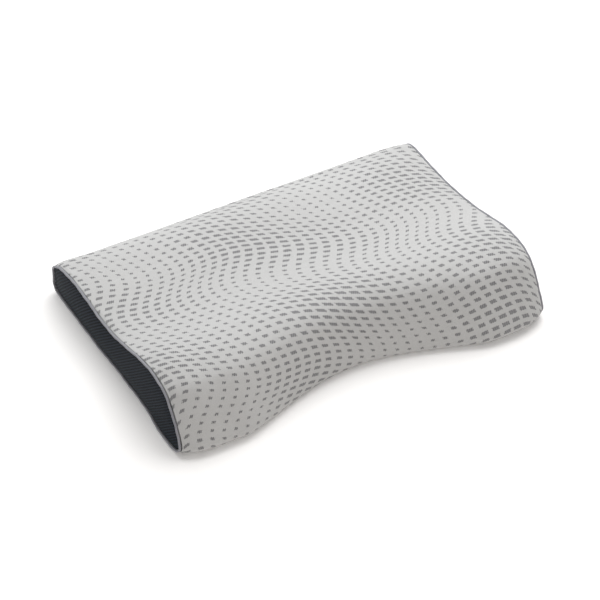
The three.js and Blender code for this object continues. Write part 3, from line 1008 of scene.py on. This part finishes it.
def seam_ring(depth, count):
    """Evenly spaced [y, z] points round the side seam at one depth, and their outward normals."""
    line = outline(SEAM_X)
    closed = np.vstack([line, line[:1]])
    s = path_lengths(closed)
    at = np.linspace(0, s[-1], count, endpoint=False)
    ring = np.stack([np.interp(at, s, closed[:, k]) for k in (0, 1)], 1)
    tangent = np.roll(ring, -1, 0) - np.roll(ring, 1, 0)
    normal = np.stack([-tangent[:, 1], tangent[:, 0]], 1)
    normal /= np.linalg.norm(normal, axis=1, keepdims=True)
    return ring - normal * depth, normal, at


def upper_and_lower(ring):
    """The ring's upper and lower points, each from the front to the back."""
    front, back = ring[:, 0].argmin(), ring[:, 0].argmax()
    order = np.roll(np.arange(len(ring)), -front)
    split = np.where(order == back)[0][0]
    upper, lower = ring[order[: split + 1]], ring[order[split:]][::-1]
    return [part[np.argsort(part[:, 0])] for part in (upper, lower)]


def mesh_ribs(y, z):
    """How far the mesh's slanting ribs stand out."""
    rise_y, rise_z = y * math.cos(MESH_ANGLE), z * math.sin(MESH_ANGLE)
    slants = (np.cos(TAU * (rise_y + k * rise_z) / MESH_PITCH) for k in (1, -1))
    return MESH_RELIEF * sum(share * slant for share, slant in zip(MESH_SHARES, slants))


def make_gusset(name, side):
    """A ribbed mesh end panel, domed a little outwards."""
    ring, _, _ = seam_ring(GUSSET_EDGE_DEPTH, GUSSET_RING)
    upper, lower = upper_and_lower(ring)
    columns, rows = GUSSET_GRID
    along = crowded(columns, GUSSET_CROWDING)
    ys = mix(ring[:, 0].min(), ring[:, 0].max(), (along + 1) / 2)
    top = np.interp(ys, upper[:, 0], upper[:, 1])
    base = np.interp(ys, lower[:, 0], lower[:, 1])
    up = np.linspace(0, 1, rows)[None]
    y = np.repeat(ys[:, None], rows, 1)
    z = mix(base[:, None], top[:, None], up)
    dome = (1 - (2 * up - 1) ** 2) ** 0.8 * (1 - along[:, None] ** 6)
    points = settled(np.stack([np.full_like(y, side * SEAM_X), y, z], -1))
    ribs = mesh_ribs(y, z) * np.minimum(1, dome * 4)
    points[..., 0] += side * (GUSSET_EDGE_X - SEAM_X + GUSSET_BULGE * dome + ribs)
    faces = [face[::-side] for face in grid_faces(columns, rows)]
    uvs = np.stack([y, z], -1) * MM
    piece = make_piece(f"mesh_{name}", points, faces, MESH, uvs)
    thicken(piece, GUSSET_WALL)
    finish_piece(piece, "pillow", "mesh_gusset", name)


def make_hoop(name, side, section, material, slot, node):
    """A closed hoop along the side seam, from a section of (along x, outwards) points."""
    count = HOOP_RING
    ring, normal, at = seam_ring(PIPING_DEPTH, count)
    section = np.array(section)
    centre = np.concatenate([np.full((count, 1), SEAM_X), ring], 1)
    points = np.repeat(centre[:, None], len(section), 1)
    # sewn by hand and eye, the piping wanders a little
    sway = 0.22 * np.sin(TAU * at / 47) + 0.18 * np.sin(TAU * at / 19.3 + side)
    points[..., 0] += section[None, :, 0] + sway[:, None]
    points[..., 1] += section[None, :, 1] * normal[:, None, 0]
    points[..., 2] += section[None, :, 1] * normal[:, None, 1]
    points[..., 0] *= side
    centre[:, 0] *= side
    points += (settled(centre) - centre)[:, None]
    round_it = grid_faces(count + 1, len(section), wrap=True)
    # the last ring of faces comes back to the first points
    faces = [tuple(k % (count * len(section)) for k in face)[::side] for face in round_it]
    reach = path_lengths(section)
    uvs = np.stack(np.broadcast_arrays(reach[None], at[:, None]), -1) * MM
    piece = make_piece(name, points, faces, material, uvs)
    finish_piece(piece, "pillow", slot, node)


def arc_points(radius, start, end, count):
    """Points on an arc, whose angles are measured from straight outwards."""
    angles = np.linspace(start, end, count)
    return [(radius * math.sin(a), radius * math.cos(a)) for a in angles]


def make_piping(end, side):
    """A strip wrapped round its filler cord, open just where its edges go into the seam."""
    reach = math.pi - PIPING_OPENING
    strip = arc_points(PIPING_RADIUS, -reach, reach, 14)
    strip += arc_points(PIPING_RADIUS - PIPING_WALL, reach, -reach, 14)
    make_hoop(f"piping_{end}", side, strip, PIPING, "piping", f"piping_strip_{end}")
    cord = arc_points(CORD_RADIUS, 0, TAU, 9)[:-1]
    make_hoop(f"filler_cord_{end}", side, cord, CORD, "piping_cord", f"piping_cord_{end}")


# ---- Zip ----


def back_face(x):
    """Y of the wrap panel's flat back at x."""
    return BACK_Y - CROWN_INSET["back"] * crown_share(x)


def tape_section():
    """The section of a zip tape as [up from the zip's middle, depth] points."""
    near, far = TAPE_REACH
    shallow, deep = TAPE_DEPTHS
    reach = np.r_[near, near + 0.15, np.linspace(near + 0.5, far - 0.3, 16), far]
    by_coil = (reach > near) & (reach < near + TAPE_EDGE_WIDTH)
    wall = (deep - shallow) * np.where(by_coil, 1, TAPE_THIN)
    wall[[0, -1]] *= TAPE_SELVEDGE
    middle = (shallow + deep) / 2
    rib = TAPE_RIB * np.cos(np.arange(len(reach)) * math.pi)
    outer = np.stack([reach, middle - wall / 2 + rib], 1)
    inner = np.stack([reach, middle + wall / 2], 1)
    return np.vstack([outer, inner[::-1]])


def make_tape(name, side):
    """A woven tape, thicker along the edge that carries the coil."""
    section = tape_section()
    xs = np.linspace(-TAPE_HALF_LENGTH, TAPE_HALF_LENGTH, 169)
    points = np.zeros((len(xs), len(section), 3))
    points[..., 0] = xs[:, None]
    points[..., 1] = np.array([back_face(x) for x in xs])[:, None] - section[:, 1]
    points[..., 2] = ZIP_Z + side * section[:, 0]
    vertices, faces = closed_grid(points)
    uvs = np.stack([points[..., 0], np.broadcast_to(section[:, 0], points.shape[:2])], -1)
    uvs = np.vstack([uvs.reshape(-1, 2), vertices[-2:, 1:]]) * MM
    piece = face_outwards(make_piece(f"woven_{name}", vertices, faces, TAPE, uvs))
    finish_piece(piece, "pillow", "zip_tape", name)


def make_coil(name, side):
    """One side's row of nylon turns. Each side's turns stand in the gaps of the other's."""
    turns = round((COIL_ENDS[1] - COIL_ENDS[0]) / COIL_PITCH) - 1
    turn = np.arange(turns * COIL_STEPS + 1) / COIL_STEPS
    angle = turn * TAU
    x = COIL_ENDS[0] + COIL_WIRE + 0.1 + (turn + (0.5 if side > 0 else 0)) * COIL_PITCH
    half_depth = (COIL_DEPTHS[1] - COIL_DEPTHS[0]) / 2 - COIL_WIRE
    reach_low, reach_high = COIL_REACH[0] - COIL_OVERLAP, COIL_REACH[1] - COIL_WIRE
    half_reach = (reach_high - reach_low) / 2
    depth = sum(COIL_DEPTHS) / 2 + half_depth * np.sin(angle)
    reach = (reach_low + reach_high) / 2 - half_reach * np.cos(angle)
    points = np.stack([x, BACK_Y - depth, ZIP_Z + side * reach], 1)
    vertices, faces = tube(points, COIL_WIRE, 6, (1, 0, 0))
    piece = face_outwards(make_piece(f"nylon_{name}", vertices, faces, NYLON))
    finish_piece(piece, "pillow", "zip_coil", name)


def make_hem_stitching(name, side):
    """The row of stitches through the hem and the tape, on one side of the slot."""
    z = ZIP_Z + side * (SLOT_HEIGHT / 2 + HEM_STITCH)
    half = TAPE_HALF_LENGTH - 3
    parts = []
    for x in np.arange(-half, half, HEM_STITCH_PITCH):
        ends = [(at, back_face(at), z) for at in (x, x + HEM_STITCH_PITCH * HEM_STITCH_SHARE)]
        parts.append(stitch(*ends, (0, 1, 0)))
    piece = make_piece(f"hem_stitches_{name}", *joined(parts), THREAD)
    finish_piece(face_outwards(piece), "pillow", "thread")


def make_bar_tack(name):
    """A block of close stitches across both hems, at one end of the slot."""
    low, high = (np.array(corner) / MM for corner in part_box(f"bar_tack_{name}"))
    face_y = low[1] - SHIFT_Y + TACK_THREAD
    parts = []
    for k, z in enumerate(np.arange(low[2] + TACK_THREAD, high[2] - 0.2, TACK_PITCH)):
        slant = TACK_SLANT if k % 2 else -TACK_SLANT
        start = (low[0] + 0.1, face_y, z - slant)
        end = (high[0] - 0.1, face_y, z + slant)
        parts.append(stitch(start, end, (0, 1, 0), TACK_THREAD))
    piece = make_piece(f"tack_stitches_{name}", *joined(parts), THREAD)
    finish_piece(face_outwards(piece), "pillow", "thread", f"bar_tack_{name}")


def make_metal(name, node, body, rounding):
    """A zip part of plated metal, with the CAD part's edges rounded over."""
    piece = bpy.data.objects.new(name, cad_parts[node].data.copy())
    bpy.context.scene.collection.objects.link(piece)
    piece.data.materials.clear()
    piece.data.materials.append(METAL)
    weld = piece.modifiers.new("weld", "WELD")
    weld.merge_threshold = 0.01 * MM
    bevel = piece.modifiers.new("edges", "BEVEL")
    bevel.width = rounding * MM
    bevel.segments = 3
    bevel.limit_method = "ANGLE"
    bevel.angle_limit = METAL_BEND
    apply_modifiers(piece)
    piece.data.polygons.foreach_set("use_smooth", [True] * len(piece.data.polygons))
    finish_piece(face_outwards(piece), body, "zip_metal", node)


def make_zip():
    """The whole zip, from its tapes to its pull, with the stitching that holds it."""
    for name, side in (("upper", 1), ("lower", -1)):
        make_tape(f"zip_tape_{name}", side)
        make_coil(f"zip_coil_{name}", side)
        make_hem_stitching(name, side)
        make_metal(f"top_stop_{name}", f"zip_top_stop_{name}", "pillow", rounding=0.45)
    make_metal("bottom_stop", "zip_bottom_stop", "pillow", rounding=0.45)
    make_metal("slider_body", "zip_slider", "slider", rounding=0.22)
    make_metal("pull_tab", "zip_pull", "pull", rounding=0.2)
    for name in ("left", "right"):
        make_bar_tack(name)


# ---- Scene ----


def look_at(obj, point):
    """Turns a camera or a light towards a point."""
    direction = Vector(point) - obj.location
    obj.rotation_euler = direction.to_track_quat("-Z", "Y").to_euler()


def make_camera():
    """A long lens, in front of the pillow, above it and to its left."""
    target = Vector(CAMERA_TARGET) * MM
    level = math.cos(CAMERA_ELEVATION)
    turn_x, turn_y = math.cos(CAMERA_AZIMUTH), math.sin(CAMERA_AZIMUTH)
    back = Vector((turn_y * level, -turn_x * level, math.sin(CAMERA_ELEVATION)))
    right = Vector((turn_x, turn_y, 0))
    up = back.cross(right)
    data = bpy.data.cameras.new("camera")
    data.lens = CAMERA_LENS
    data.sensor_width = 36
    data.clip_end = 50
    camera = bpy.data.objects.new("camera", data)
    bpy.context.scene.collection.objects.link(camera)
    camera.location = target + back * CAMERA_DISTANCE * MM
    aim_right, aim_up = CAMERA_AIM
    look_at(camera, target + (right * aim_right + up * aim_up) * MM)
    bpy.context.scene.camera = camera


def area_light(name, location, size, power, colour=(1, 1, 1)):
    """A rectangular light that faces the pillow."""
    data = bpy.data.lights.new(name, "AREA")
    data.shape = "RECTANGLE"
    data.size, data.size_y = size
    data.energy = power
    data.color = colour
    light = bpy.data.objects.new(name, data)
    bpy.context.scene.collection.objects.link(light)
    light.location = location
    look_at(light, (0, 0, 0.05))


def make_studio():
    """A pale floor, an even sky, one large light high behind and a small warm one in front."""
    size = FLOOR_HALF_SIZE
    corners = [(-size, -size), (size, -size), (size, size), (-size, size)]
    mesh = bpy.data.meshes.new("floor")
    mesh.from_pydata([(x, y, -FLOOR_GAP * MM) for x, y in corners], [], [(0, 1, 2, 3)])
    mesh.materials.append(floor_material())
    floor = bpy.data.objects.new("floor", mesh)
    bpy.context.scene.collection.objects.link(floor)
    world = bpy.data.worlds.new("studio")
    world.use_nodes = True
    sky = world.node_tree.nodes["Background"]
    sky.inputs["Color"].default_value = (1, 1, 1, 1)
    sky.inputs["Strength"].default_value = SKY_STRENGTH
    bpy.context.scene.world = world
    area_light("key", **KEY_LIGHT)
    area_light("warm_fill", **WARM_FILL)
    bpy.context.scene.view_settings.view_transform = "Standard"


# ---- Assembly ----

SETTLING = simulate_settling()
make_camera()
make_core()
make_liner()
make_wrap()
for end, side in (("left", -1), ("right", 1)):
    make_gusset(f"gusset_{end}", side)
    make_piping(end, side)
make_zip()
make_studio()
